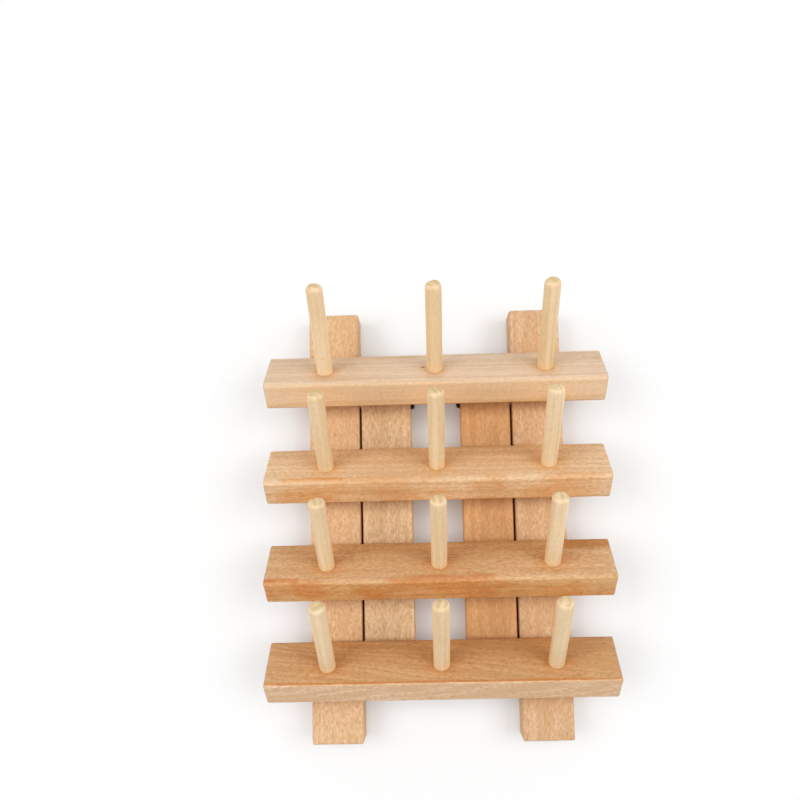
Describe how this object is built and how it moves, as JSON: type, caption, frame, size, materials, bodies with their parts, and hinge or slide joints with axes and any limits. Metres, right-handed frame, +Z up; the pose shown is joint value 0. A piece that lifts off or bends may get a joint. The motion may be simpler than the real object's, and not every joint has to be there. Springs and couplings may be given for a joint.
{
  "type": "thread rack",
  "caption": "Folding wooden thread rack: slanted spool pegs on crossbars across side rails, with hinged legs that fold flush between the rails.",
  "frame": {"origin": "middle of the rack's box, on the table, with the rack lying flat and its legs folded", "axes": "+Z up, +X along the crossbars, +Y along the rails towards the end that the pegs lean to, which is the top when the rack stands on its legs"},
  "size_m": [0.1724, 0.2238, 0.0641],
  "materials": {
    "frame_wood": "satin clear-coated beech, orange brown, straight grain along the piece",
    "crossbar_wood": "satin clear-coated beech, pale pinkish tan with fine dark flecks",
    "peg_wood": "smooth pale cream dowel",
    "black_steel": "black finish, slightly glossy",
    "plain_steel": "plain zinc finish"
  },
  "bodies": {
    "frame": {"side_rail_left": "frame_wood", "side_rail_right": "frame_wood", "crossbar_1": "crossbar_wood", "crossbar_2": "crossbar_wood", "crossbar_3": "crossbar_wood", "crossbar_4": "crossbar_wood", "peg_1_left": "peg_wood", "peg_1_middle": "peg_wood", "peg_1_right": "peg_wood", "peg_2_left": "peg_wood", "peg_2_middle": "peg_wood", "peg_2_right": "peg_wood", "peg_3_left": "peg_wood", "peg_3_middle": "peg_wood", "peg_3_right": "peg_wood", "peg_4_left": "peg_wood", "peg_4_middle": "peg_wood", "peg_4_right": "peg_wood", "pivot_screw_left": "black_steel", "pivot_screw_right": "black_steel", "pivot_washer_left": "plain_steel", "pivot_washer_right": "plain_steel", "crossbar_screws": "plain_steel"},
    "left_leg": {"leg_left": "frame_wood"},
    "right_leg": {"leg_right": "frame_wood"}
  },
  "joints": [
    {"name": "left_leg_fold", "type": "hinge", "parent": "frame", "child": "left_leg", "pos_m": [-0.02625, 0.06413, 0.00675], "axis": [1, 0, 0], "range_deg": [0, 45]},
    {"name": "right_leg_fold", "type": "hinge", "parent": "frame", "child": "right_leg", "pos_m": [0.02625, 0.06413, 0.00675], "axis": [1, 0, 0], "range_deg": [0, 45]}
  ]
}
